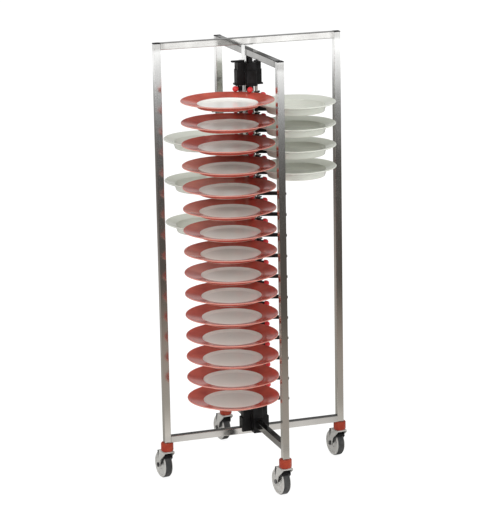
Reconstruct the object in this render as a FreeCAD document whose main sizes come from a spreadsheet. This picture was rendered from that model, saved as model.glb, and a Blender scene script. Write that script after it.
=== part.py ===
"""Mobile plate rack on four swivel casters.

Four square posts stand on a crossed base and carry a crossed top. A square column in the middle is ringed by
four round rods. Moulded carriers on the rods hold each plate by its inner edge: a long arm under its foot from
one rod, a short ledge under its rim from the next, and a rubber button over its rim from each. Lengths are
millimetres, +Z is up, and the origin is the middle of the footprint on the floor. Inside the script the column's
axis is the centre, and each finished piece is moved by the same small step to the middle of the footprint.
"""

import FreeCAD
import Part
import math
import os
import Sketcher

# Driving dimensions: name, value, what it is.
DIMENSIONS = (
    ("axis_x", 3.4, "column axis from the middle of the footprint, along X"),
    ("axis_y", -31.3, "column axis from the middle of the footprint, along Y"),
    ("tube", 25.0, "side of the square frame tube"),
    ("tube_wall", 1.5, "wall of the square frame tube"),
    ("tube_round", 2.0, "corner radius of the square frame tube"),
    ("half_span", 340.0, "column axis to a post's axis"),
    ("post_foot", 143.0, "floor to the lower end of a post"),
    ("side_top", 1623.0, "floor to the top of the side rail and its posts' caps"),
    ("end_top", 1584.0, "floor to the top of the end rail and its posts' caps"),
    ("end_base", 176.0, "floor to the underside of the end base rail"),
    ("column", 35.0, "side of the square column"),
    ("column_wall", 2.0, "wall of the column"),
    ("rod", 6.0, "radius of a carrier rod"),
    ("rod_offset", 31.0, "column axis to a rod's axis"),
    ("fit", 0.05, "radial clearance round rods, stems and axles"),
    ("gap", 0.3, "clearance between faces of parts that move apart"),
    ("hub_reach", 52.0, "column axis to the end of a hub arm"),
    ("hub_half", 18.0, "half the width of a hub arm or a rod shoe"),
    ("saddle_foot", 153.0, "floor to the underside of the base hub"),
    ("saddle_top", 205.0, "floor to the top of the base hub"),
    ("shoe_reach", 47.0, "column axis to the outer face of a rod shoe"),
    ("shoe_height", 56.0, "height of a rod shoe"),
    ("shoe_lip", 4.0, "how far a rod shoe's lip stands out"),
    ("shoe_lip_height", 6.0, "height of a rod shoe's lip"),
    ("clamp_foot", 1508.0, "floor to the underside of the top clamp"),
    ("clamp_height", 27.0, "height of the top clamp's arms"),
    ("clamp_reach", 44.0, "column axis to the end of a clamp arm"),
    ("clamp_stud", 7.0, "radius of the studs between the clamp and the end rail"),
    ("tab_reach", 61.0, "column axis to the end of the clamp's tab"),
    ("tab_half", 9.0, "half the width of the clamp's tab"),
    ("tab_thick", 5.0, "thickness of the clamp's tab"),
    ("top_rim", 1429.5, "floor to the rim of the topmost flat plate"),
    ("pitch", 77.76, "rim to rim of one stack of plates"),
    ("deep_step", 28.8, "flat plate's rim down to the next deep plate's rim"),
    ("rim_clear", 1.4, "plate rim to the carrier above it"),
    ("boss", 9.0, "outer radius of a carrier's boss"),
    ("boss_height", 17.5, "height of an upper carrier's boss"),
    ("arm_root", 13.0, "width of an arm where it leaves its boss"),
    ("arm_end", 13.0, "width of an arm under the plate's foot"),
    ("arm_nose", 8.0, "width of an arm's tip"),
    ("arm_height", 12.0, "height of an arm"),
    ("arm_nose_height", 7.0, "height of an arm's tip"),
    ("arm_flat", 93.0, "rod axis to the end of an arm's flat top"),
    ("arm_reach", 103.0, "rod axis to an arm's tip"),
    ("arm_splay", 22.0, "degrees an arm turns towards its plate"),
    ("ledge", 10.0, "width of a ledge under a plate's rim"),
    ("ledge_thick", 5.0, "thickness of a ledge"),
    ("ledge_splay", 45.0, "degrees a ledge turns towards its plate"),
    ("ledge_flat", 20.0, "rod axis to the tip of the ledge for a flat plate"),
    ("ledge_deep", 34.0, "rod axis to the tip of the ledge for a deep plate"),
    ("ledge_drop", 5.8, "flat plate's rim down to the top of its ledge"),
    ("ledge_drop_deep", 8.1, "deep plate's rim down to the top of its ledge"),
    ("button", 10.0, "radius of a rubber button"),
    ("button_clear", 0.6, "plate rim to the button over it"),
    ("button_back", 18.0, "rod axis to a button's flat back"),
    ("button_side", 7.0, "length of a button's straight side"),
    ("button_splay", 27.0, "degrees a button turns towards its plate"),
    ("plate", 167.0, "radius of a flat plate"),
    ("plate_x", 128.5, "column axis to a flat plate's centre, along X"),
    ("plate_y", 150.5, "column axis to a flat plate's centre, along Y"),
    ("deep", 144.5, "radius of a deep plate"),
    ("deep_x", 133.5, "column axis to a deep plate's centre, along X"),
    ("deep_y", 129.0, "column axis to a deep plate's centre, along Y"),
    ("caster_turn", 7.5, "degrees the casters point off straight back"),
    ("trail", 35.0, "swivel axis to wheel axis"),
    ("wheel", 50.0, "radius of a wheel over its tyre"),
    ("tread_half", 16.0, "half the width of a wheel, with room to spare"),
    ("tyre_half", 12.4, "half the width of a tyre"),
    ("tyre_seat", 45.0, "radius of the seat between wheel and tyre"),
    ("axle", 5.0, "radius of a wheel axle"),
    ("cheek_inner", 18.5, "wheel's middle to the inner face of a fork cheek"),
    ("cheek", 3.0, "thickness of a fork cheek"),
    ("crown_foot", 104.7, "floor to the underside of a fork's crown"),
    ("crown_top", 108.7, "floor to the top of a fork's crown"),
    ("guard_clear", 52.0, "inner radius of a thread guard"),
    ("guard_out", 54.6, "outer radius of a thread guard"),
    ("guard_wall", 1.5, "wall of a thread guard"),
    ("stem", 5.5, "radius of a caster stem"),
    ("stem_top", 166.0, "floor to the top of a caster stem"),
    ("collar_foot", 110.0, "floor to the underside of a caster collar"),
    ("collar", 23.0, "outer radius of a caster collar"),
    ("plug_top", 172.0, "floor to the top of the collar's plug"),
    ("cap_top", 3.0, "thickness of a post cap above its post"),
    ("cap_plug", 14.0, "how far a post cap reaches into its post"),
)

FLAT_LEVELS = 15
DEEP_RIGHT = (1, 2, 3, 4)
DEEP_LEFT = (3, 5, 7)
Vector = FreeCAD.Vector
UP = Vector(0, 0, 1)

doc = FreeCAD.newDocument("PlateRack")
sheet = doc.addObject("Spreadsheet::Sheet", "Sizes")
for row, (alias, value, meaning) in enumerate(DIMENSIONS, start=1):
    sheet.set(f"A{row}", meaning)
    sheet.set(f"B{row}", str(value))
    sheet.setAlias(f"B{row}", alias)
doc.recompute()


class Size:
    """A length that also remembers its formula, so that it can be bound to the sheet."""

    def __init__(self, value, text):
        self.value = float(value)
        self.text = text

    def __add__(self, other):
        other = as_size(other)
        return Size(self.value + other.value, f"({self.text} + {other.text})")

    def __sub__(self, other):
        other = as_size(other)
        return Size(self.value - other.value, f"({self.text} - {other.text})")

    def __mul__(self, factor):
        return Size(self.value * factor, f"({self.text} * {factor})")

    def __neg__(self):
        return Size(-self.value, f"(0 - {self.text})")


class Sheet:
    """The driving dimensions as Size values, one attribute each."""


def as_size(length):
    return length if isinstance(length, Size) else Size(length, f"{float(length)}")


S = Sheet()
for alias, value, meaning in DIMENSIONS:
    setattr(S, alias, Size(value, f"Sizes.{alias}"))
HALF_TUBE = S.tube * 0.5
HALF_COLUMN = S.column * 0.5

finished = []


# ---- shapes bound to the sheet -------------------------------------------------------------------------------


def bind(item, path, length):
    """Tie one property of an object to a formula of the sheet."""
    item.setExpression(path, as_size(length).text)


def place(item, x=0, y=0, z=0, turn=0.0, about=UP):
    """Turn an object about an axis through its own origin, then move it."""
    spot = [as_size(length) for length in (x, y, z)]
    base = Vector(*[length.value for length in spot])
    item.Placement = FreeCAD.Placement(base, FreeCAD.Rotation(about, turn))
    for letter, length in zip("xyz", spot):
        bind(item, f"Placement.Base.{letter}", length)
    return item


def box(name, length, width, height, x=0, y=0, z=0):
    """A block from its low corner."""
    item = doc.addObject("Part::Box", name)
    bind(item, "Length", length)
    bind(item, "Width", width)
    bind(item, "Height", height)
    return place(item, x, y, z)


def square_block(name, half, height, z=0):
    """A block with a square plan, centred on the axis."""
    return box(name, half * 2, half * 2, height, -half, -half, z)


def cylinder(name, radius, height, x=0, y=0, z=0, turn=0.0, about=UP):
    item = doc.addObject("Part::Cylinder", name)
    bind(item, "Radius", radius)
    bind(item, "Height", height)
    return place(item, x, y, z, turn, about)


def taper(name, near, far, near_width, far_width, near_height, far_height, turn, z=0):
    """A blade that points outwards along +Y and narrows, turned about the rod's axis."""
    item = doc.addObject("Part::Wedge", name)
    spans = {
        "Ymin": near, "Ymax": far, "Zmin": as_size(0), "Z2min": as_size(0),
        "Xmin": near_width * -0.5, "Xmax": near_width * 0.5, "Zmax": near_height,
        "X2min": far_width * -0.5, "X2max": far_width * 0.5, "Z2max": far_height,
    }
    for path, length in spans.items():
        setattr(item, path, length.value)
    for path, length in spans.items():
        bind(item, path, length)
    return place(item, z=z, turn=turn)


def cut(name, body, tool):
    item = doc.addObject("Part::Cut", name)
    item.Base = body
    item.Tool = tool
    return item


def common(name, body, tool):
    item = doc.addObject("Part::Common", name)
    item.Base = body
    item.Tool = tool
    return item


def fuse(name, *members):
    item = doc.addObject("Part::MultiFuse", name)
    item.Shapes = list(members)
    item.Refine = True
    return item


def group(name, *members):
    """Separate solids kept together in one object."""
    item = doc.addObject("Part::Compound", name)
    item.Links = list(members)
    return item


def copy_of(name, pattern, x=0, y=0, z=0, turn=0.0, about=UP):
    """The same shape in another place. It follows its pattern."""
    return place(group(name, pattern), x, y, z, turn, about)


def flipped(name, pattern):
    """The same shape mirrored left to right."""
    item = doc.addObject("Part::Mirroring", name)
    item.Source = pattern
    item.Normal = Vector(1, 0, 0)
    return item


def rounded(name, pattern, along, radius):
    """Round the edges that run along one direction."""
    doc.recompute()
    edges = []
    for index, edge in enumerate(pattern.Shape.Edges, start=1):
        if edge.tangentAt(edge.FirstParameter).cross(along).Length < 1e-6:
            edges.append((index, radius.value, radius.value))
    item = doc.addObject("Part::Fillet", name)
    item.Base = pattern
    item.Edges = edges
    return item


def finish(name, *members):
    """A finished piece: its members, moved to the middle of the footprint."""
    item = group(name, *members)
    place(item, S.axis_x, S.axis_y)
    item.Label = name
    finished.append(item)
    return item


# ---- sketches -------------------------------------------------------------------------------------------------


def arc_between(start, end, radius):
    """The short arc from start to end. A positive radius bends left, a negative one bends right."""
    chord = end - start
    rise = math.sqrt(max(radius * radius - chord.Length * chord.Length / 4, 0))
    left = Vector(-chord.y, chord.x, 0).normalize()
    centre = (start + end) * 0.5 + left * math.copysign(rise, radius)
    first, last = (start, end) if radius > 0 else (end, start)
    angles = [math.atan2(point.y - centre.y, point.x - centre.x) for point in (first, last)]
    if angles[1] < angles[0]:
        angles[1] += 2 * math.pi
    return Part.ArcOfCircle(Part.Circle(centre, UP, abs(radius)), *angles)


def outline(body, role, corners):
    """A closed sketch on one of the body's own planes. Each corner is (x, y) or (x, y, radius of the arc to the
    next corner), and each is tied to the sheet."""
    sketch = body.newObject("Sketcher::SketchObject", f"{body.Name}_outline")
    plane = [feature for feature in body.Origin.OriginFeatures if feature.Role == role][0]
    sketch.AttachmentSupport = [(plane, "")]
    sketch.MapMode = "FlatFace"
    corners = [tuple(as_size(length) for length in corner) for corner in corners]
    points = [Vector(corner[0].value, corner[1].value, 0) for corner in corners]
    ends = []
    for index, corner in enumerate(corners):
        start = points[index]
        end = points[(index + 1) % len(points)]
        if len(corner) == 3:
            edge = sketch.addGeometry(arc_between(start, end, corner[2].value), False)
            ends.append((edge, 1, 2) if corner[2].value > 0 else (edge, 2, 1))
            number = sketch.addConstraint(Sketcher.Constraint("Radius", edge, abs(corner[2].value)))
            sketch.renameConstraint(number, f"bend{index}")
            bind(sketch, f"Constraints.bend{index}", corner[2] if corner[2].value > 0 else -corner[2])
        else:
            edge = sketch.addGeometry(Part.LineSegment(start, end), False)
            ends.append((edge, 1, 2))
    for index, corner in enumerate(corners):
        edge, first, last = ends[index]
        following, next_first, next_last = ends[(index + 1) % len(ends)]
        sketch.addConstraint(Sketcher.Constraint("Coincident", edge, last, following, next_first))
        for kind, length, axis in (("DistanceX", corner[0], -2), ("DistanceY", corner[1], -1)):
            if abs(length.value) < 1e-9:
                sketch.addConstraint(Sketcher.Constraint("PointOnObject", edge, first, axis))
                continue
            rule = Sketcher.Constraint(kind, -1, 1, edge, first, length.value)
            number = sketch.addConstraint(rule)
            sketch.renameConstraint(number, f"{kind}{index}")
            bind(sketch, f"Constraints.{kind}{index}", length)
    return sketch


def turned(name, corners):
    """A body turned about Z from the half section (radius, height)."""
    body = doc.addObject("PartDesign::Body", name)
    sketch = outline(body, "XZ_Plane", corners)
    feature = body.newObject("PartDesign::Revolution", f"{name}_turn")
    feature.Profile = sketch
    feature.ReferenceAxis = (sketch, ["V_Axis"])
    feature.Angle = 360
    sketch.Visibility = False
    body.Tip = feature
    return body


def slab(name, corners, thickness):
    """A body cut from sheet: the outline (Y, Z), with its thickness shared out on both sides of X = 0."""
    body = doc.addObject("PartDesign::Body", name)
    sketch = outline(body, "YZ_Plane", corners)
    feature = body.newObject("PartDesign::Pad", f"{name}_pad")
    feature.Profile = sketch
    feature.Midplane = True
    bind(feature, "Length", thickness)
    body.Tip = feature
    return body


# ---- frame ----------------------------------------------------------------------------------------------------


def upright(name, side, wall, height, corner):
    """A square tube that stands on Z = 0."""
    blank = rounded(f"{name}_round", square_block(f"{name}_block", side * 0.5, height), UP, corner)
    return cut(name, blank, square_block(f"{name}_bore", side * 0.5 - wall, height))


def rail(name, length):
    """A square tube that lies along X from X = 0, with its underside on Z = 0."""
    block = box(f"{name}_block", length, S.tube, S.tube, 0, -HALF_TUBE)
    blank = rounded(f"{name}_round", block, Vector(1, 0, 0), S.tube_round)
    inside = S.tube - S.tube_wall * 2
    bore = box(f"{name}_bore", length, inside, inside, 0, inside * -0.5, S.tube_wall)
    return cut(name, blank, bore)


side_post = upright("side_post", S.tube, S.tube_wall, S.side_top - S.cap_top - S.post_foot, S.tube_round)
end_post = upright("end_post", S.tube, S.tube_wall, S.end_top - S.cap_top - S.post_foot, S.tube_round)
finish(
    "side_posts",
    copy_of("side_post_left", side_post, -S.half_span, 0, S.post_foot),
    copy_of("side_post_right", side_post, S.half_span, 0, S.post_foot),
)
finish(
    "end_posts",
    copy_of("end_post_front", end_post, 0, -S.half_span, S.post_foot),
    copy_of("end_post_back", end_post, 0, S.half_span, S.post_foot),
)

clear_span = (S.half_span - HALF_TUBE) * 2
side_rail = rail("side_rail", clear_span)
rail_start = HALF_TUBE - S.half_span
finish("base_rail_side", copy_of("base_side", side_rail, rail_start, 0, S.post_foot))
finish("top_rail_side", copy_of("top_side", side_rail, rail_start, 0, S.side_top - S.tube))

end_rail = rail("end_rail", S.half_span - HALF_TUBE - HALF_COLUMN)
for name, height in (("base_rail_end", S.end_base), ("top_rail_end", S.end_top - S.tube)):
    finish(
        name,
        copy_of(f"{name}_front", end_rail, 0, -HALF_COLUMN, height, -90),
        copy_of(f"{name}_back", end_rail, 0, HALF_COLUMN, height, 90),
    )

column_foot = S.post_foot + S.tube
column_height = S.side_top - S.tube - column_foot
column_tube = upright("column_tube", S.column, S.column_wall, column_height, S.tube_round)
finish("centre_column", copy_of("column_up", column_tube, z=column_foot))

cap_plate = square_block("cap_plate", HALF_TUBE, S.cap_top)
cap_dome = rounded("cap_dome", cap_plate, UP, S.tube_round)
cap_plug = square_block("cap_plug", HALF_TUBE - S.tube_wall - 0.2, S.cap_plug, -S.cap_plug)
cap = fuse("cap", cap_dome, cap_plug)
corner_spots = (
    ("left", -S.half_span, 0, S.side_top),
    ("right", S.half_span, 0, S.side_top),
    ("front", 0, -S.half_span, S.end_top),
    ("back", 0, S.half_span, S.end_top),
)
finish("post_caps", *[copy_of(f"cap_{side}", cap, x, y, top - S.cap_top) for side, x, y, top in corner_spots])


# ---- hubs and rods --------------------------------------------------------------------------------------------

SIDES = (("front", 180), ("left", 90), ("back", 0), ("right", -90))


def outward(name, pattern, distance, z, turn):
    """A copy of a pattern that points outwards along +Y, moved out and turned to one side of the column."""
    moved = copy_of(f"{name}_moved", pattern, 0, distance, z)
    return place(group(name, moved), turn=turn)


rod = cylinder("rod", S.rod, S.clamp_foot - S.saddle_top - 2, z=1)
finish("support_rods", *[outward(f"rod_{side}", rod, S.rod_offset, S.saddle_top, turn) for side, turn in SIDES])

saddle_height = S.saddle_top - S.saddle_foot
saddle = fuse(
    "saddle",
    box("saddle_x", S.hub_reach * 2, S.hub_half * 2, saddle_height, -S.hub_reach, -S.hub_half, S.saddle_foot),
    box("saddle_y", S.hub_half * 2, S.hub_reach * 2, saddle_height, -S.hub_half, -S.hub_reach, S.saddle_foot),
)
rail_slot = S.tube + 0.2
base_side_slot = box("base_side_slot", S.hub_reach * 4, rail_slot, 30, S.hub_reach * -2, rail_slot * -0.5,
                     S.post_foot + S.tube + 0.1 - 30)
base_end_slot = box("base_end_slot", rail_slot, S.hub_reach * 4, rail_slot, rail_slot * -0.5, S.hub_reach * -2,
                    S.end_base - 0.1)
column_hole = square_block("column_hole", HALF_COLUMN + 0.1, 1600)
finish("base_hub", cut("base_hub_body", saddle, fuse("base_slots", base_side_slot, base_end_slot, column_hole)))

shoe_inner = HALF_COLUMN + 0.2
shoe_block = box("shoe_block", S.hub_half * 2, S.shoe_reach - shoe_inner, S.shoe_height, -S.hub_half,
                 shoe_inner - S.rod_offset)
shoe_lip = box("shoe_lip", S.hub_half * 2, S.shoe_lip + 2, S.shoe_lip_height, -S.hub_half,
               S.shoe_reach - S.rod_offset - 2)
shoe_bore = cylinder("shoe_bore", S.rod + S.fit, S.shoe_height)
shoe = cut("shoe", fuse("shoe_outer", rounded("shoe_round", shoe_block, UP, Size(3.0, "3")), shoe_lip), shoe_bore)
upside_down = copy_of("shoe_turned", shoe, 0, 0, S.shoe_height, 180, Vector(0, 1, 0))
shoes = []
for side, turn in SIDES:
    shoes.append(outward(f"shoe_top_{side}", shoe, S.rod_offset, S.clamp_foot - S.shoe_height - 0.2, turn))
    shoes.append(outward(f"shoe_base_{side}", upside_down, S.rod_offset, S.saddle_top + 0.2, turn))
finish("rod_shoes", *shoes)

clamp_top = S.clamp_foot + S.clamp_height
stud_height = S.end_top - S.tube - S.gap - S.clamp_foot
clamp_body = fuse(
    "clamp_body",
    box("clamp_x", S.clamp_reach * 2, S.hub_half * 2, S.clamp_height, -S.clamp_reach, -S.hub_half, S.clamp_foot),
    box("clamp_y", S.hub_half * 2, S.clamp_reach * 2, S.clamp_height, -S.hub_half, -S.clamp_reach, S.clamp_foot),
    box("clamp_tab", S.tab_reach - HALF_COLUMN, S.tab_half * 2, S.tab_thick, -S.tab_reach, -S.tab_half, clamp_top),
    cylinder("clamp_stud_front", S.clamp_stud, stud_height, 0, -S.rod_offset, S.clamp_foot),
    cylinder("clamp_stud_back", S.clamp_stud, stud_height, 0, S.rod_offset, S.clamp_foot),
)
finish("top_clamp", cut("top_clamp_body", clamp_body, column_hole))


# ---- carriers and buttons ---------------------------------------------------------------------------------------

# In a carrier the rod is the axis, outwards is +Y, and heights count from its station. The flat plate of its
# quarter pair lies towards +X and the deep one towards -X.
HALF_PITCH = S.pitch * 0.5
FLAT_SIDE = 1
DEEP_SIDE = -1
over_flat = S.button_clear + S.button - S.rim_clear
over_deep = HALF_PITCH - S.rim_clear - S.deep_step + S.button_clear + S.button
under_flat = HALF_PITCH - S.rim_clear - S.ledge_drop
under_deep = HALF_PITCH - S.rim_clear - S.deep_step - S.ledge_drop_deep
half_nose = S.button * 0.6


def boss(name, foot, head):
    return cylinder(f"{name}_boss", S.boss, head - foot, z=foot)


def arm(name, side):
    """The long arm under a plate's foot, with a nose that slopes down at its end."""
    turn = -side * S.arm_splay.value
    root = taper(f"{name}_arm", as_size(6.0), S.arm_flat, S.arm_root, S.arm_end, S.arm_height, S.arm_height, turn)
    tip = taper(f"{name}_tip", S.arm_flat, S.arm_reach, S.arm_end, S.arm_nose, S.arm_height, S.arm_nose_height, turn)
    return root, tip


def ledge(name, side, top, reach):
    """The short ledge under a plate's rim."""
    turn = -side * S.ledge_splay.value
    foot = top - S.ledge_thick
    return taper(f"{name}_ledge", as_size(6.0), reach, S.ledge, S.ledge, S.ledge_thick, S.ledge_thick, turn, foot)


def nose(name, side, height):
    """The nose that a rubber button sits on."""
    turn = -side * S.button_splay.value
    return taper(f"{name}_nose", as_size(6.0), S.button_back, S.button * 1.3, S.button * 1.1,
                 half_nose * 2, half_nose * 2, turn, height - half_nose)


def carrier(name, *members):
    body = fuse(f"{name}_body", *members) if len(members) > 1 else members[0]
    return cut(name, body, cylinder(f"{name}_bore", S.rod + S.fit, 80, z=-40))


def upper_boss(name):
    return boss(name, as_size(0), S.boss_height)


end_upper = carrier("end_upper", upper_boss("end_upper"), nose("end_upper", FLAT_SIDE, over_flat))
end_lower = carrier(
    "end_lower",
    boss("end_lower", under_deep - S.ledge_thick, over_deep + half_nose),
    *arm("end_lower", FLAT_SIDE),
    nose("end_lower", DEEP_SIDE, over_deep),
    ledge("end_lower", DEEP_SIDE, under_deep, S.ledge_deep),
)
end_lowest = carrier("end_lowest", upper_boss("end_lowest"))
side_topmost = carrier("side_topmost", upper_boss("side_topmost"), nose("side_topmost", FLAT_SIDE, over_flat))
side_upper = carrier(
    "side_upper",
    upper_boss("side_upper"),
    *arm("side_upper", DEEP_SIDE),
    nose("side_upper", FLAT_SIDE, over_flat),
)
side_lower = carrier(
    "side_lower",
    boss("side_lower", over_deep - half_nose - 2, under_flat),
    nose("side_lower", DEEP_SIDE, over_deep),
    ledge("side_lower", FLAT_SIDE, under_flat, S.ledge_flat),
)
side_lowest = carrier("side_lowest", upper_boss("side_lowest"), *arm("side_lowest", DEEP_SIDE))

button_blank = turned("button_blank", (
    (0, 0),
    (S.button, 0),
    (S.button, S.button_side, S.button),
    (0, S.button_side + S.button),
))


def button(name, side, height):
    """A rubber button with its flat back on a carrier's nose."""
    lying = copy_of(f"{name}_lying", button_blank, 0, S.button_back, height, -90, Vector(1, 0, 0))
    return place(group(name, lying), turn=-side * S.button_splay.value)


button_flat = button("button_flat", FLAT_SIDE, over_flat)
button_deep = button("button_deep", DEEP_SIDE, over_deep)
STATIONS = 2 * FLAT_LEVELS


def stack(name, first, topmost, upper, lower, lowest):
    """The carriers of one rod from its first station down, threaded on it half a pitch apart, and their buttons."""
    carriers = []
    buttons = []
    for station in range(first, STATIONS + 1):
        height = S.top_rim + S.rim_clear - S.pitch * (station * 0.5)
        pattern = upper if station % 2 == 0 else lower
        if station == 0:
            pattern = topmost
        if station == STATIONS:
            pattern = lowest
        carriers.append(copy_of(f"{name}_carrier_{station}", pattern, z=height))
        if station < STATIONS:
            rubber = button_flat if station % 2 == 0 else button_deep
            buttons.append(copy_of(f"{name}_button_{station}", rubber, z=height))
    return group(f"{name}_carriers", *carriers), group(f"{name}_buttons", *buttons)


end_stack = stack("end", 0, end_upper, end_upper, end_lower, end_lowest)
left_stack = stack("left", 0, side_topmost, side_upper, side_lower, side_lowest)
right_stack = stack("right", 1, side_topmost, side_upper, side_lower, side_lowest)
left_stack = [flipped(f"{threaded.Name}_flipped", threaded) for threaded in left_stack]
right_stack = [flipped(f"{threaded.Name}_flipped", threaded) for threaded in right_stack]
stacks = {"front": end_stack, "back": end_stack, "left": left_stack, "right": right_stack}
all_buttons = []
for side, turn in SIDES:
    carriers, buttons = stacks[side]
    finish(f"carriers_{side}", outward(f"carriers_on_{side}", carriers, S.rod_offset, 0, turn))
    all_buttons.append(outward(f"buttons_on_{side}", buttons, S.rod_offset, 0, turn))
finish("rim_buttons", *all_buttons)


# ---- plates -----------------------------------------------------------------------------------------------------

flat_foot = S.rim_clear + S.arm_height + S.gap - HALF_PITCH
deep_foot = S.deep_step + S.rim_clear + S.arm_height + S.gap - S.pitch
flat_plate = turned("flat_plate", (
    (0, -19.0),
    (92.0, -19.0, 22.0),
    (106.0, -12.2),
    (S.plate - 9, -1.6, -14.0),
    (S.plate - 1.6, 0, -2.2),
    (S.plate - 0.4, -3.0),
    (S.plate - 6, -4.9),
    (111.0, -15.6, -20.0),
    (107.5, flat_foot),
    (101.5, flat_foot),
    (100.0, -23.0),
    (0, -23.0),
))
deep_plate = turned("deep_plate", (
    (0, -30.2),
    (88.0, -30.2, 26.0),
    (105.5, -11.4),
    (S.deep - 9, -2.0, -14.0),
    (S.deep - 1.6, 0, -2.2),
    (S.deep - 0.4, -3.2),
    (S.deep - 6, -5.6),
    (111.0, -13.6, 60.0),
    (103.5, deep_foot + 1.6),
    (102.5, deep_foot),
    (96.5, deep_foot),
    (95.0, deep_foot + 1.2),
    (0, deep_foot + 1.2),
))
for level in range(FLAT_LEVELS):
    rim = S.top_rim - S.pitch * level
    finish(f"plate_red_{level + 1:02d}", copy_of(f"flat_{level}", flat_plate, -S.plate_x, -S.plate_y, rim))
for side, levels, x, y in (
    ("right", DEEP_RIGHT, S.deep_x, -S.deep_y),
    ("left", DEEP_LEFT, -S.deep_x, S.deep_y),
):
    for level in levels:
        rim = S.top_rim - S.deep_step - S.pitch * (level - 1)
        finish(f"plate_white_{side}_{level}", copy_of(f"deep_{side}_{level}", deep_plate, x, y, rim))


# ---- casters ----------------------------------------------------------------------------------------------------

# In these patterns the swivel axis is Z, the wheel trails along +Y and its axle runs along X.
ACROSS = Vector(0, 1, 0)
axle_height = S.wheel
cheek_blank = slab("cheek_blank", (
    (-18.0, S.crown_top),
    (-18.0, S.crown_foot - 3),
    (16.0, S.wheel + 24),
    (S.trail - 8.5, S.wheel - 1.5, 9.0),
    (S.trail + 8.5, S.wheel + 3.0),
    (30.0, S.crown_foot - 4),
    (30.0, S.crown_top),
), S.cheek)
cheek_middle = S.cheek_inner + S.cheek * 0.5
crown_width = (S.cheek_inner + S.cheek) * 2
crown_depth = as_size(48.0)
crown = box("crown", crown_width, crown_depth, S.crown_top - S.crown_foot, crown_width * -0.5, -18.0, S.crown_foot)
fork_body = fuse(
    "fork_body",
    copy_of("cheek_left", cheek_blank, -cheek_middle),
    copy_of("cheek_right", cheek_blank, cheek_middle),
    crown,
    cylinder("swivel_head", S.collar - 4, S.collar_foot - S.crown_foot - S.gap, z=S.crown_foot),
    cylinder("swivel_stem", S.stem, S.stem_top - S.crown_foot, z=S.crown_foot),
)
axle_hole = cylinder("axle_hole", S.axle + S.fit, 80, -40, S.trail, axle_height, 90, ACROSS)
fork = cut("fork", fork_body, axle_hole)

axle_half = S.cheek_inner + S.cheek
axle_pin = cylinder("axle_pin", S.axle, axle_half * 2, -axle_half, S.trail, axle_height, 90, ACROSS)
axle_head = cylinder("axle_head", S.axle + 3.5, 3.5, axle_half, S.trail, axle_height, 90, ACROSS)
axle_nut = cylinder("axle_nut", S.axle + 3.5, 3.5, -axle_half - 3.5, S.trail, axle_height, 90, ACROSS)
axle_bolt = fuse("axle_bolt", axle_pin, axle_head, axle_nut)

guard_half = S.tread_half + 0.8 + S.guard_wall
guard_sheet = slab("guard_sheet", (
    (-24.0, S.crown_foot - 0.2),
    (S.trail - 17, S.wheel + 3),
    (S.trail + 9, S.wheel + 3),
    (S.trail + 14, S.crown_foot - 0.2),
), guard_half * 2)


def wheel_drum(name, radius, half):
    """A drum about the wheel's axle."""
    return cylinder(name, radius, half * 2, -half, S.trail, axle_height, 90, ACROSS)


guard_shell = cut(
    "guard_shell",
    common("guard_arc", guard_sheet, wheel_drum("guard_drum", S.guard_out, guard_half + 1)),
    wheel_drum("guard_room", S.guard_clear, S.tread_half + 0.8),
)
guard = cut("guard", guard_shell, wheel_drum("guard_hole", S.axle + 1.5, guard_half + 1))

wheel_centre = turned("wheel_centre", (
    (S.axle + S.fit, -15.5),
    (13.0, -15.5),
    (17.0, -10.5),
    (38.0, -12.0),
    (40.5, -15.0),
    (S.tyre_seat + 1, -15.0),
    (S.tyre_seat + 3, -S.tyre_half - 0.2),
    (S.tyre_seat, -S.tyre_half - 0.2),
    (S.tyre_seat, S.tyre_half + 0.2),
    (S.tyre_seat + 3, S.tyre_half + 0.2),
    (S.tyre_seat + 1, 15.0),
    (40.5, 15.0),
    (38.0, 12.0),
    (17.0, 10.5),
    (13.0, 15.5),
    (S.axle + S.fit, 15.5),
))
tyre_ring = turned("tyre_ring", (
    (S.tyre_seat, -S.tyre_half),
    (S.wheel - 2.5, -S.tyre_half, 4.0),
    (S.wheel, -S.tyre_half + 3),
    (S.wheel, S.tyre_half - 3, 4.0),
    (S.wheel - 2.5, S.tyre_half),
    (S.tyre_seat, S.tyre_half),
))
wheel_lying = copy_of("wheel_lying", wheel_centre, 0, S.trail, axle_height, 90, ACROSS)
tyre_lying = copy_of("tyre_lying", tyre_ring, 0, S.trail, axle_height, 90, ACROSS)

caster_spots = (
    ("left", -S.half_span, 0),
    ("right", S.half_span, 0),
    ("front", 0, -S.half_span),
    ("back", 0, S.half_span),
)
caster_pieces = (
    ("caster_fork", fork),
    ("caster_guard", guard),
    ("caster_axle", axle_bolt),
    ("caster_wheel", wheel_lying),
    ("caster_tyre", tyre_lying),
)
for side, x, y in caster_spots:
    for piece, pattern in caster_pieces:
        spot = copy_of(f"{piece}_at_{side}", pattern, x, y, 0, S.caster_turn.value)
        finish(f"{piece}_{side}", spot)

collar_ring = turned("collar_ring", (
    (S.stem + S.fit, S.collar_foot),
    (S.collar - 3.5, S.collar_foot),
    (S.collar, S.collar_foot + 5),
    (S.collar, S.post_foot - 3),
    (S.collar - 2, S.post_foot),
    (S.stem + S.fit, S.post_foot),
))
plug_block = square_block("plug_block", HALF_TUBE - S.tube_wall - 0.2, S.plug_top - S.post_foot, S.post_foot)
plug = cut("plug", plug_block, cylinder("plug_bore", S.stem + S.fit, 80, z=S.post_foot - 10))
collar = fuse("collar", collar_ring, plug)
finish("caster_collars", *[copy_of(f"collar_{side}", collar, x, y) for side, x, y in caster_spots])


# ---- checks and export ------------------------------------------------------------------------------------------

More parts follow.
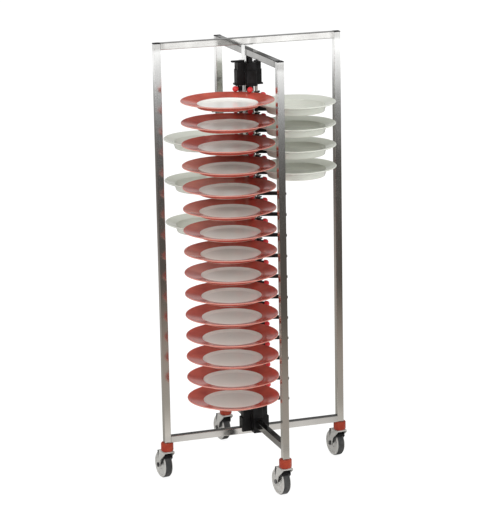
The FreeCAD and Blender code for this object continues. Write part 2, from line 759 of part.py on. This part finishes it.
doc.recompute()
for item in doc.Objects:
    if "Invalid" in item.State or "Error" in item.State:
        raise RuntimeError(f"{item.Label} did not compute: {item.State}")
for item in finished:
    if item.Shape.isNull() or not item.Shape.isValid() or not item.Shape.Solids:
        raise RuntimeError(f"{item.Label} has no valid shape")

os.makedirs("parts", exist_ok=True)
whole = FreeCAD.BoundBox()
for item in finished:
    whole.add(item.Shape.BoundBox)
    item.Shape.exportStep(f"parts/{item.Label}.step")
print(f"{len(finished)} pieces, X {whole.XMin:.1f} to {whole.XMax:.1f}, Y {whole.YMin:.1f} to {whole.YMax:.1f}, "
      f"Z {whole.ZMin:.1f} to {whole.ZMax:.1f}")
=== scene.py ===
"""A mobile plate rack: four square stainless posts on casters round a central column of black plate carriers.

Everything is in metres, +Z up, with the floor at Z = 0 and the front post towards -Y.
"""

import math

import bmesh
import bpy
from mathutils import Matrix, Vector

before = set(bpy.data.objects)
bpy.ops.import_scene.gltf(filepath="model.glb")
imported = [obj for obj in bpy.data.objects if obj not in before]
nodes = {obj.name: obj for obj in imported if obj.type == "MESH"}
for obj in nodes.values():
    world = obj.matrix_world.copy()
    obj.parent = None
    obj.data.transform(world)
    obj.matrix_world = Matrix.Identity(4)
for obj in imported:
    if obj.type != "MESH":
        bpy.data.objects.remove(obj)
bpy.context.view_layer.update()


# ---- Square-tube frame -------------------------------------------------------------------------------------
# Four posts, two crossed base rails, two crossed top rails and the column are 25 and 35 mm stainless tube. The
# tube is drawn and brushed along its length. The posts and the column carry a painted reflection in their
# colour:
# bright at the top, darker in the middle and warm at the foot. Each weld is ground flat, which leaves a faint
# duller band there.

AXIS_X, AXIS_Y = 0.0034, -0.0313
POST_OUT = 0.340
HALF_TUBE, HALF_COLUMN = 0.0125, 0.0175
STEEL = (0.62, 0.615, 0.60, 1)
STEEL_DULL = (0.50, 0.49, 0.47, 1)
# Shaded copies of the steel: painted shade for the end rails' dim faces.
SHADED_STEEL = (0.29, 0.285, 0.275, 1)
SHADED_STEEL_DULL = (0.22, 0.215, 0.205, 1)
# Painted reflection up the posts and column: colour by height, bright at the top, dark in the middle, warm at
# the foot.
PAINTED_REFLECTION_UP_THE_POST = (
    (0.04, (0.60, 0.585, 0.55, 1)),
    (0.30, (0.57, 0.53, 0.48, 1)),
    (0.50, (0.52, 0.475, 0.435, 1)),
    (0.72, (0.54, 0.52, 0.495, 1)),
    (0.88, (0.66, 0.66, 0.65, 1)),
)
TUBE_TOP = 1.62
SIDE_JOINTS = (0.1555, 1.6105)
END_JOINTS = (0.1885, 1.5655)
FINE_LINES, DRAWN_OUT = 1400.0, 9.0
WELD_REACH = 0.019


def new_group(name, inputs, outputs):
    """An empty shader group with float or vector inputs and outputs."""
    group = bpy.data.node_groups.new(name, "ShaderNodeTree")
    for socket, kind, value in inputs:
        made = group.interface.new_socket(socket, in_out="INPUT", socket_type=kind)
        if value is not None:
            made.default_value = value
    for socket, kind in outputs:
        group.interface.new_socket(socket, in_out="OUTPUT", socket_type=kind)
    return group, group.nodes.new("NodeGroupInput"), group.nodes.new("NodeGroupOutput")


def brushed_grain_group():
    """Fine scratches drawn out along one direction, with slow patches of heavier brushing."""
    group, given, out = new_group(
        "brushed_grain",
        [("Vector", "NodeSocketVector", None), ("Stretch", "NodeSocketVector", (1, 1, 1)),
         ("Patch Size", "NodeSocketFloat", 6.0)],
        [("Grain", "NodeSocketFloat"), ("Patches", "NodeSocketFloat")],
    )
    tree, link = group.nodes, group.links.new
    stretched = tree.new("ShaderNodeVectorMath")
    stretched.operation = "MULTIPLY"
    link(given.outputs["Vector"], stretched.inputs[0])
    link(given.outputs["Stretch"], stretched.inputs[1])
    scratches = tree.new("ShaderNodeTexNoise")
    scratches.inputs["Scale"].default_value = 1.0
    scratches.inputs["Detail"].default_value = 5.0
    scratches.inputs["Roughness"].default_value = 0.7
    link(stretched.outputs[0], scratches.inputs["Vector"])
    patches = tree.new("ShaderNodeTexNoise")
    patches.inputs["Detail"].default_value = 3.0
    link(given.outputs["Vector"], patches.inputs["Vector"])
    link(given.outputs["Patch Size"], patches.inputs["Scale"])
    link(scratches.outputs["Fac"], out.inputs["Grain"])
    link(patches.outputs["Fac"], out.inputs["Patches"])
    return group


brushed_grain = brushed_grain_group()


class Finish:
    """A material under construction: its Principled shader, its nodes and short ways to join them."""

    def __init__(self, name):
        self.material = bpy.data.materials.new(name)
        self.material.use_nodes = True
        self.tree = self.material.node_tree
        self.shader = self.tree.nodes["Principled BSDF"]
        self.place = self.tree.nodes.new("ShaderNodeTexCoord").outputs["Object"]

    def link(self, source, target):
        self.tree.links.new(source, target)

    def feed(self, sockets, values):
        """Each socket takes a link from another node or a plain value."""
        for socket, value in zip(sockets, values):
            if isinstance(value, bpy.types.NodeSocket):
                self.link(value, socket)
            else:
                socket.default_value = value

    def feed_named(self, made, inputs):
        self.feed([made.inputs[name.replace("_", " ")] for name in inputs], inputs.values())
        return made

    def set(self, **values):
        """Plain numbers and colours on the shader's own sockets."""
        self.feed_named(self.shader, values)
        return self

    def node(self, kind, **inputs):
        return self.feed_named(self.tree.nodes.new(kind), inputs)

    def group(self, group, **inputs):
        made = self.tree.nodes.new("ShaderNodeGroup")
        made.node_tree = group
        return self.feed_named(made, inputs)

    def math(self, operation, first, second=0.0, third=0.0, clamp=False):
        made = self.tree.nodes.new("ShaderNodeMath")
        made.operation = operation
        made.use_clamp = clamp
        self.feed(made.inputs, (first, second, third))
        return made.outputs[0]

    def spread(self, value, low, high, start=0.0, end=1.0):
        """A value taken from one range to another, held at both ends."""
        made = self.node("ShaderNodeMapRange", Value=value)
        for name, number in (("From Min", low), ("From Max", high), ("To Min", start), ("To Max", end)):
            made.inputs[name].default_value = number
        return made.outputs[0]

    def blend(self, share, first, second):
        """Two colours mixed by a share."""
        made = self.tree.nodes.new("ShaderNodeMix")
        made.data_type = "RGBA"
        self.feed((made.inputs[0], made.inputs[6], made.inputs[7]), (share, first, second))
        return made.outputs[2]

    def ramp(self, value, stops):
        """A colour read off a row of (place, colour) stops."""
        made = self.node("ShaderNodeValToRGB", Fac=value)
        row = made.color_ramp.elements
        row[0].position, row[0].color = stops[0]
        row[1].position, row[1].color = stops[-1]
        for place, colour in stops[1:-1]:
            row.new(place).color = colour
        return made.outputs["Color"]

    def near(self, value, spots, reach):
        """1 close to any of the spots, falling to 0 at the reach."""
        closest = None
        for spot in spots:
            away = self.math("ABSOLUTE", self.math("SUBTRACT", value, spot))
            closest = away if closest is None else self.math("MINIMUM", closest, away)
        return self.spread(closest, reach * 0.35, reach, 1.0, 0.0)

    def bump(self, height, strength, depth=0.001):
        made = self.node("ShaderNodeBump", Height=height, Strength=strength, Distance=depth)
        self.link(made.outputs["Normal"], self.shader.inputs["Normal"])
        return made

    def on(self, *names):
        """Puts the finish on CAD nodes and on new pieces alike."""
        for name in names:
            piece = nodes[name] if isinstance(name, str) else name
            piece.data.materials.clear()
            piece.data.materials.append(self.material)


def brushed_tube(name, along, joints, bright=STEEL, dull=STEEL_DULL, painted_height_reflection=False):
    """Stainless tube brushed along one axis: 0 for X, 1 for Y, 2 for Z, with ground welds at its joints. An
    upright tube takes a painted reflection for its colour, changing with height.
    """
    stretch = [FINE_LINES] * 3
    stretch[along] = DRAWN_OUT
    steel = Finish(name).set(Metallic=1.0)
    grain = steel.group(brushed_grain, Vector=steel.place, Stretch=stretch, Patch_Size=7.0)
    spot = steel.node("ShaderNodeSeparateXYZ", Vector=steel.place)
    patches = steel.spread(grain.outputs["Patches"], 0.35, 0.7)
    colour = steel.blend(patches, bright, dull)
    # Painted reflection: an upright tube's colour is read off its height, not the steel's own tone.
    if painted_height_reflection:
        height = steel.math("DIVIDE", spot.outputs["Z"], TUBE_TOP)
        wavering = steel.math("ADD", height, steel.spread(grain.outputs["Patches"], 0.3, 0.7, -0.012, 0.012))
        colour = steel.ramp(wavering, PAINTED_REFLECTION_UP_THE_POST)
    weld = steel.near(spot.outputs[along], joints, WELD_REACH)
    weld = steel.math("MULTIPLY", weld, steel.spread(grain.outputs["Patches"], 0.2, 0.6, 0.15, 0.5))
    colour = steel.blend(weld, colour, dull)
    roughness = steel.math("ADD", steel.spread(grain.outputs["Grain"], 0.3, 0.7, 0.07, 0.13),
                           steel.spread(grain.outputs["Patches"], 0.4, 0.75, 0.0, 0.04))
    roughness = steel.math("ADD", roughness, steel.math("MULTIPLY", weld, 0.10))
    steel.link(colour, steel.shader.inputs["Base Color"])
    steel.link(roughness, steel.shader.inputs["Roughness"])
    steel.bump(grain.outputs["Grain"], 0.06, 0.0003)
    return steel


brushed_tube("stainless_side_post", 2, SIDE_JOINTS, painted_height_reflection=True).on("side_posts", "centre_column")
brushed_tube("stainless_end_post", 2, END_JOINTS, painted_height_reflection=True).on("end_posts")
RAIL_ENDS = (HALF_TUBE - POST_OUT, -HALF_COLUMN, HALF_COLUMN, POST_OUT - HALF_TUBE)
ACROSS = [AXIS_X + end for end in RAIL_ENDS]
DEEP = [AXIS_Y + end for end in RAIL_ENDS]
brushed_tube("stainless_rail_across", 0, ACROSS).on("base_rail_side", "top_rail_side")
# The end rails take the shaded copy of the steel: painted shade, not a different finish.
shaded = brushed_tube("stainless_rail_deep", 1, DEEP, SHADED_STEEL, SHADED_STEEL_DULL)
shaded.on("base_rail_end", "top_rail_end")


# ---- Carrier rods ------------------------------------------------------------------------------------------
# Four round stainless rods, 12 mm thick, stand round the column between the shoes. They are centreless ground,
# so their fine lines run round them instead of along them.

rod_steel = Finish("ground_rod").set(Metallic=1.0)
rod_grain = rod_steel.group(brushed_grain, Vector=rod_steel.place, Stretch=(60, 60, 2600), Patch_Size=12.0)
rod_steel.link(rod_steel.blend(rod_grain.outputs["Patches"], STEEL, STEEL_DULL),
               rod_steel.shader.inputs["Base Color"])
rod_steel.link(rod_steel.spread(rod_grain.outputs["Grain"], 0.3, 0.7, 0.16, 0.28),
               rod_steel.shader.inputs["Roughness"])
rod_steel.bump(rod_grain.outputs["Grain"], 0.08, 0.0003)
rod_steel.on("support_rods")


# ---- Black mouldings ---------------------------------------------------------------------------------------
# The hub, the rod shoes, the top clamp, the post caps and the plate carriers are moulded in black nylon. The
# surface is spark-eroded: a fine even grain, a little greyer and shinier where it is handled and wiped.

BLACK = (0.0055, 0.005, 0.005, 1)
BLACK_WORN = (0.018, 0.018, 0.019, 1)


def moulded_skin_group():
    """The fine pebbled skin of a moulding, with slow patches of wiping and handling over it."""
    group, given, out = new_group(
        "moulded_skin",
        [("Vector", "NodeSocketVector", None), ("Pebble", "NodeSocketFloat", 2400.0),
         ("Patch Size", "NodeSocketFloat", 25.0)],
        [("Pebbles", "NodeSocketFloat"), ("Wear", "NodeSocketFloat")],
    )
    tree, link = group.nodes, group.links.new
    pebbles = tree.new("ShaderNodeTexNoise")
    pebbles.inputs["Detail"].default_value = 2.0
    link(given.outputs["Vector"], pebbles.inputs["Vector"])
    link(given.outputs["Pebble"], pebbles.inputs["Scale"])
    wear = tree.new("ShaderNodeTexNoise")
    wear.inputs["Detail"].default_value = 4.0
    wear.inputs["Roughness"].default_value = 0.6
    link(given.outputs["Vector"], wear.inputs["Vector"])
    link(given.outputs["Patch Size"], wear.inputs["Scale"])
    link(pebbles.outputs["Fac"], out.inputs["Pebbles"])
    link(wear.outputs["Fac"], out.inputs["Wear"])
    return group


moulded_skin = moulded_skin_group()


def moulding(name, colour, worn, shine, dull, patch=25.0):
    """A moulded plastic: its colour, its colour where worn, and its roughness where wiped and where not."""
    plastic = Finish(name)
    skin = plastic.group(moulded_skin, Vector=plastic.place, Patch_Size=patch)
    plastic.link(plastic.blend(plastic.spread(skin.outputs["Wear"], 0.4, 0.72), colour, worn),
                 plastic.shader.inputs["Base Color"])
    plastic.link(plastic.spread(skin.outputs["Wear"], 0.35, 0.7, dull, shine),
                 plastic.shader.inputs["Roughness"])
    plastic.bump(skin.outputs["Pebbles"], 0.18, 0.0003)
    return plastic


black_moulding = moulding("black_nylon", BLACK, BLACK_WORN, 0.34, 0.50).set(Specular_IOR_Level=0.2)
black_moulding.on("base_hub", "rod_shoes", "top_clamp", "post_caps",
                  *[f"carriers_{side}" for side in ("front", "left", "back", "right")])


# ---- Rubber buttons ----------------------------------------------------------------------------------------
# A red rubber button stands on the nose of each carrier, just over a plate's rim. The rubber is smooth moulded
# and a little dusty, with a soft sheen and paler rubbed domes.

red_rubber = moulding("red_rubber", (0.66, 0.016, 0.024, 1), (0.76, 0.06, 0.06, 1), 0.34, 0.55, 40.0)
red_rubber.on("rim_buttons")


# ---- Plates ------------------------------------------------------------------------------------------------
# Glazed china. Fifteen flat plates have a salmon-red glazed rim round a white middle; seven deeper plates are
# plain white. The colour pools a little darker at the rim's edge, and the foot ring is left unglazed.

RED_CENTRE = (AXIS_X - 0.1285, AXIS_Y - 0.1505)
RED_OUT, RED_IN = 0.167, 0.108
TOP_RIM, PITCH, DEEP_STEP = 1.4295, 0.07776, 0.0288
FLAT_FOOT, DEEP_FOOT = 0.0240, 0.0343
RIM_RED = (0.60, 0.126, 0.086, 1)
RIM_RED_DEEP = (0.42, 0.064, 0.045, 1)
RIM_EDGE = (0.60, 0.27, 0.22, 1)
MIDDLE = (0.93, 0.915, 0.875, 1)
MIDDLE_COOL = (0.87, 0.865, 0.82, 1)
CHINA = (0.72, 0.73, 0.66, 1)
CHINA_COOL = (0.62, 0.645, 0.575, 1)
BISCUIT = (0.55, 0.49, 0.40, 1)
CUTLERY_GREY = (0.42, 0.42, 0.40, 1)


def glaze_group():
    """Slow pooling, fine ripples and the short grey marks that cutlery leaves in a fired glaze."""
    group, given, out = new_group(
        "fired_glaze",
        [("Vector", "NodeSocketVector", None)],
        [("Pooling", "NodeSocketFloat"), ("Ripple", "NodeSocketFloat"), ("Marks", "NodeSocketFloat")],
    )
    tree, link = group.nodes, group.links.new
    for name, scale, detail in (("Pooling", 14.0, 3.0), ("Ripple", 60.0, 1.0)):
        noise = tree.new("ShaderNodeTexNoise")
        noise.inputs["Scale"].default_value = scale
        noise.inputs["Detail"].default_value = detail
        link(given.outputs["Vector"], noise.inputs["Vector"])
        link(noise.outputs["Fac"], out.inputs[name])
    turned = tree.new("ShaderNodeMapping")
    turned.inputs["Rotation"].default_value = (0, 0, 0.6)
    turned.inputs["Scale"].default_value = (900, 70, 300)
    link(given.outputs["Vector"], turned.inputs["Vector"])
    scores = tree.new("ShaderNodeTexNoise")
    scores.inputs["Scale"].default_value = 1.0
    scores.inputs["Detail"].default_value = 2.0
    link(turned.outputs["Vector"], scores.inputs["Vector"])
    faint = tree.new("ShaderNodeMapRange")
    faint.inputs["From Min"].default_value = 0.66
    faint.inputs["From Max"].default_value = 0.74
    faint.inputs["To Max"].default_value = 0.35
    link(scores.outputs["Fac"], faint.inputs["Value"])
    link(faint.outputs[0], out.inputs["Marks"])
    return group


fired_glaze = glaze_group()


def china(name, top, foot, warm, cool):
    """Glazed china with a bare foot ring. The plates of a stack share it, one pitch apart."""
    glazed = Finish(name).set(IOR=1.5)
    fired = glazed.group(fired_glaze, Vector=glazed.place)
    white = glazed.blend(fired.outputs["Pooling"], warm, cool)
    white = glazed.blend(fired.outputs["Marks"], white, CUTLERY_GREY)
    spot = glazed.node("ShaderNodeSeparateXYZ", Vector=glazed.place)
    below = glazed.math("FLOORED_MODULO", glazed.math("SUBTRACT", top + 0.004, spot.outputs["Z"]), PITCH)
    bare = glazed.spread(below, foot + 0.004, foot + 0.0046)
    glaze = glazed.spread(fired.outputs["Pooling"], 0.3, 0.7, 0.07, 0.16)
    glazed.link(glazed.math("ADD", glaze, glazed.math("MULTIPLY", bare, 0.5)),
                glazed.shader.inputs["Roughness"])
    glazed.bump(fired.outputs["Ripple"], 0.05, 0.0006)
    return glazed, white, bare, fired.outputs["Pooling"], spot


white_china, white_colour, bare_foot, _, _ = china("white_china", TOP_RIM - DEEP_STEP, DEEP_FOOT,
                                                   CHINA, CHINA_COOL)
white_china.link(white_china.blend(bare_foot, white_colour, BISCUIT), white_china.shader.inputs["Base Color"])
white_china.on(*[name for name in nodes if name.startswith("plate_white")])

red_china, middle_colour, bare_foot, pooling, spot = china("red_rimmed_china", TOP_RIM, FLAT_FOOT,
                                                           MIDDLE, MIDDLE_COOL)
from_centre = [red_china.math("SUBTRACT", spot.outputs[axis], RED_CENTRE[axis]) for axis in (0, 1)]
squares = [red_china.math("MULTIPLY", way, way) for way in from_centre]
radius = red_china.math("SQRT", red_china.math("ADD", squares[0], squares[1]))
wavering = red_china.math("ADD", radius, red_china.spread(pooling, 0.3, 0.7, -0.0006, 0.0006))
rim_colour = red_china.blend(red_china.spread(pooling, 0.3, 0.72), RIM_RED, RIM_RED_DEEP)
rim_colour = red_china.blend(red_china.spread(radius, RED_OUT - 0.0022, RED_OUT - 0.0008), rim_colour, RIM_EDGE)
rim_colour = red_china.blend(red_china.spread(wavering, RED_IN - 0.0005, RED_IN + 0.0005),
                             middle_colour, rim_colour)
red_china.link(red_china.blend(bare_foot, rim_colour, BISCUIT), red_china.shader.inputs["Base Color"])
red_china.on(*[name for name in nodes if name.startswith("plate_red")])


# ---- Casters -----------------------------------------------------------------------------------------------
# Four swivel casters, all trailing the same way. An orange-red collar plugs into each post; under it turns a
# light-grey fork with a black thread guard, and a light-grey wheel with a dark-grey tyre runs on a plain bolt.
# The guard's black is partly its own colour and partly painted shade for the shadowed gap between fork and
# tyre.

collar_red = moulding("orange_collar", (0.27, 0.021, 0.007, 1), (0.35, 0.048, 0.018, 1), 0.32, 0.48)
collar_red.set(Specular_IOR_Level=0.3).on("caster_collars")
fork_grey = moulding("grey_fork", (0.41, 0.405, 0.38, 1), (0.49, 0.485, 0.46, 1), 0.3, 0.46)
wheel_grey = moulding("grey_wheel", (0.48, 0.475, 0.45, 1), (0.39, 0.385, 0.365, 1), 0.34, 0.5)
tyre_grey = moulding("grey_tyre", (0.026, 0.027, 0.028, 1), (0.060, 0.060, 0.058, 1), 0.5, 0.75, 30.0)
bolt_steel = moulding("dark_bolt", (0.05, 0.05, 0.055, 1), (0.16, 0.16, 0.16, 1), 0.25, 0.4).set(Metallic=1.0)
for side in ("front", "left", "back", "right"):
    fork_grey.on(f"caster_fork_{side}")
    # Black guard: partly its own colour, partly painted shade in the gap between fork and tyre.
    black_moulding.on(f"caster_guard_{side}")
    wheel_grey.on(f"caster_wheel_{side}")
    tyre_grey.on(f"caster_tyre_{side}")
    bolt_steel.on(f"caster_axle_{side}")


# ---- Floor, light and camera -------------------------------------------------------------------------------
# A pale studio floor under soft light, and the camera at the photograph's place. In the tubes the floor mirrors
# as a studio's does: pale close by, dark past the paper, and bright at the far wall.

floor_mesh = bmesh.new()
bmesh.ops.create_grid(floor_mesh, x_segments=1, y_segments=1, size=60)
floor_data = bpy.data.meshes.new("floor")
floor_mesh.to_mesh(floor_data)
floor_mesh.free()
floor = bpy.data.objects.new("floor", floor_data)
bpy.context.scene.collection.objects.link(floor)
MIRROR_REACH = 14.0
MIRRORED_IN_FRONT = (
    (0.035, (0.52, 0.505, 0.49, 1)),
    (0.065, (0.25, 0.24, 0.225, 1)),
    (0.11, (0.23, 0.21, 0.195, 1)),
    (0.155, (0.15, 0.135, 0.12, 1)),
    (0.20, (0.055, 0.05, 0.045, 1)),
    (0.40, (0.042, 0.04, 0.038, 1)),
    (0.50, (0.09, 0.09, 0.088, 1)),
    (0.60, (0.16, 0.16, 0.16, 1)),
    (0.67, (0.60, 0.60, 0.60, 1)),
    (0.71, (1.0, 1.0, 1.0, 1)),
    (0.88, (1.0, 1.0, 1.0, 1)),
    (0.95, (0.35, 0.35, 0.35, 1)),
)
MIRRORED_BEHIND = (
    (0.05, (0.20, 0.195, 0.18, 1)),
    (0.20, (0.22, 0.21, 0.20, 1)),
    (0.34, (0.09, 0.08, 0.075, 1)),
    (0.50, (0.09, 0.085, 0.08, 1)),
    (0.62, (0.22, 0.22, 0.22, 1)),
    (0.70, (0.8, 0.8, 0.8, 1)),
    (0.88, (0.25, 0.25, 0.25, 1)),
)
FLOOR_GLOW, MIRROR_GLOW = 1.14, 2.0
GLOW_TO_CAMERA, GLOW_TO_MIRRORS = 0.80, 0.96
pale = Finish("pale_floor").set(Roughness=0.5)
speckle = pale.node("ShaderNodeTexNoise", Vector=pale.place, Scale=3.0)
pale.link(pale.blend(speckle.outputs["Fac"], (0.86, 0.86, 0.86, 1), (0.9, 0.9, 0.9, 1)),
          pale.shader.inputs["Base Color"])
ground = pale.node("ShaderNodeSeparateXYZ", Vector=pale.place)
away = pale.node("ShaderNodeVectorMath")
away.operation = "LENGTH"
pale.link(pale.place, away.inputs[0])
span = pale.math("DIVIDE", away.outputs["Value"], MIRROR_REACH, clamp=True)
mirrored = pale.blend(pale.spread(ground.outputs["Y"], -0.3, 0.3),
                      pale.ramp(span, MIRRORED_IN_FRONT), pale.ramp(span, MIRRORED_BEHIND))
seen = pale.node("ShaderNodeLightPath")
white_air = pale.node("ShaderNodeEmission", Color=(1, 1, 1, 1), Strength=FLOOR_GLOW)
mirror_air = pale.node("ShaderNodeEmission", Color=mirrored, Strength=MIRROR_GLOW)
to_camera = pale.node("ShaderNodeMixShader",
                      Fac=pale.math("MULTIPLY", seen.outputs["Is Camera Ray"], GLOW_TO_CAMERA))
pale.link(pale.shader.outputs[0], to_camera.inputs[1])
pale.link(white_air.outputs[0], to_camera.inputs[2])
floor_mix = pale.node("ShaderNodeMixShader",
                      Fac=pale.math("MULTIPLY", seen.outputs["Is Glossy Ray"], GLOW_TO_MIRRORS))
pale.link(to_camera.outputs[0], floor_mix.inputs[1])
pale.link(mirror_air.outputs[0], floor_mix.inputs[2])
pale.link(floor_mix.outputs[0], pale.tree.nodes["Material Output"].inputs["Surface"])
pale.on(floor)

SKY_SEEN, SKY_SOFT, SKY_IN_FRONT = 1.0, 1.05, 0.30
SKY_BEHIND_LOW, SKY_BEHIND_HIGH = 0.50, 0.11
world = bpy.data.worlds.new("studio")
bpy.context.scene.world = world
world.use_nodes = True
sky = world.node_tree
link = sky.links.new


def sky_spread(value, low, high, start, end):
    """A value taken from one range to another in the world's tree."""
    made = sky.nodes.new("ShaderNodeMapRange")
    link(value, made.inputs["Value"])
    for name, number in (("From Min", low), ("From Max", high), ("To Min", start), ("To Max", end)):
        made.inputs[name].default_value = number
    return made.outputs[0]


def sky_mix(share, first, second):
    """Two strengths mixed by a share in the world's tree."""
    made = sky.nodes.new("ShaderNodeMix")
    for socket, value in zip(made.inputs[:1] + made.inputs[2:4], (share, first, second)):
        if isinstance(value, bpy.types.NodeSocket):
            link(value, socket)
        else:
            socket.default_value = value
    return made.outputs[0]


way = sky.nodes.new("ShaderNodeSeparateXYZ")
link(sky.nodes.new("ShaderNodeTexCoord").outputs["Generated"], way.inputs[0])
behind = sky_spread(way.outputs["Z"], 0.17, 0.26, SKY_BEHIND_LOW, SKY_BEHIND_HIGH)
mirrored = sky_mix(sky_spread(way.outputs["Y"], -0.2, 0.5, 0.0, 1.0), SKY_IN_FRONT, behind)
seen = sky.nodes.new("ShaderNodeLightPath")
straight = sky.nodes.new("ShaderNodeMath")
straight.operation = "MAXIMUM"
link(seen.outputs["Is Camera Ray"], straight.inputs[0])
link(seen.outputs["Is Transmission Ray"], straight.inputs[1])
soft = sky_mix(seen.outputs["Is Glossy Ray"], SKY_SOFT, mirrored)
link(sky_mix(straight.outputs[0], soft, SKY_SEEN), sky.nodes["Background"].inputs["Strength"])
sky.nodes["Background"].inputs["Color"].default_value = (1, 1, 1, 1)


def soft_lamp(name, place, aim, size, watts, mirrored=True):
    """A square area lamp that faces a point, mirrored in shiny pieces or not."""
    data = bpy.data.lights.new(name, "AREA")
    data.size = size
    data.energy = watts
    lamp = bpy.data.objects.new(name, data)
    lamp.location = place
    lamp.rotation_euler = (Vector(aim) - Vector(place)).to_track_quat("-Z", "Y").to_euler()
    lamp.visible_glossy = mirrored
    bpy.context.scene.collection.objects.link(lamp)


soft_lamp("key", (-2.6, -3.2, 3.4), (0, 0, 0.8), 1.8, 60)
soft_lamp("fill", (3.4, -2.6, 2.2), (0, 0, 0.8), 2.2, 20)
soft_lamp("rim", (0.6, 3.4, 3.2), (0, 0, 1.0), 1.6, 14, mirrored=False)

LENS_PIXELS, LONG_SIDE, SENSOR = 2307.8, 510, 36.0
TILT, YAW, ROLL = math.radians(13.79), math.radians(18.743), math.radians(-1.054)
ahead = Vector((math.sin(YAW), math.cos(YAW), 0))
right = Vector((math.cos(YAW), -math.sin(YAW), 0))
facing = ahead * math.cos(TILT) - Vector((0, 0, math.sin(TILT)))
above = ahead * math.sin(TILT) + Vector((0, 0, math.cos(TILT)))
rolled_right = right * math.cos(ROLL) + above * math.sin(ROLL)
rolled_up = above * math.cos(ROLL) - right * math.sin(ROLL)
camera_data = bpy.data.cameras.new("camera")
camera_data.lens = LENS_PIXELS / LONG_SIDE * SENSOR
camera_data.sensor_width = SENSOR
camera_data.clip_end = 200
camera = bpy.data.objects.new("camera", camera_data)
bpy.context.scene.collection.objects.link(camera)
stand = Matrix((rolled_right, rolled_up, -facing)).transposed().to_4x4()
stand.translation = Vector((-2.6375 + AXIS_X, -7.7597 + AXIS_Y, 2.8315))
camera.matrix_world = stand
bpy.context.scene.camera = camera
bpy.context.scene.view_settings.view_transform = "Standard"
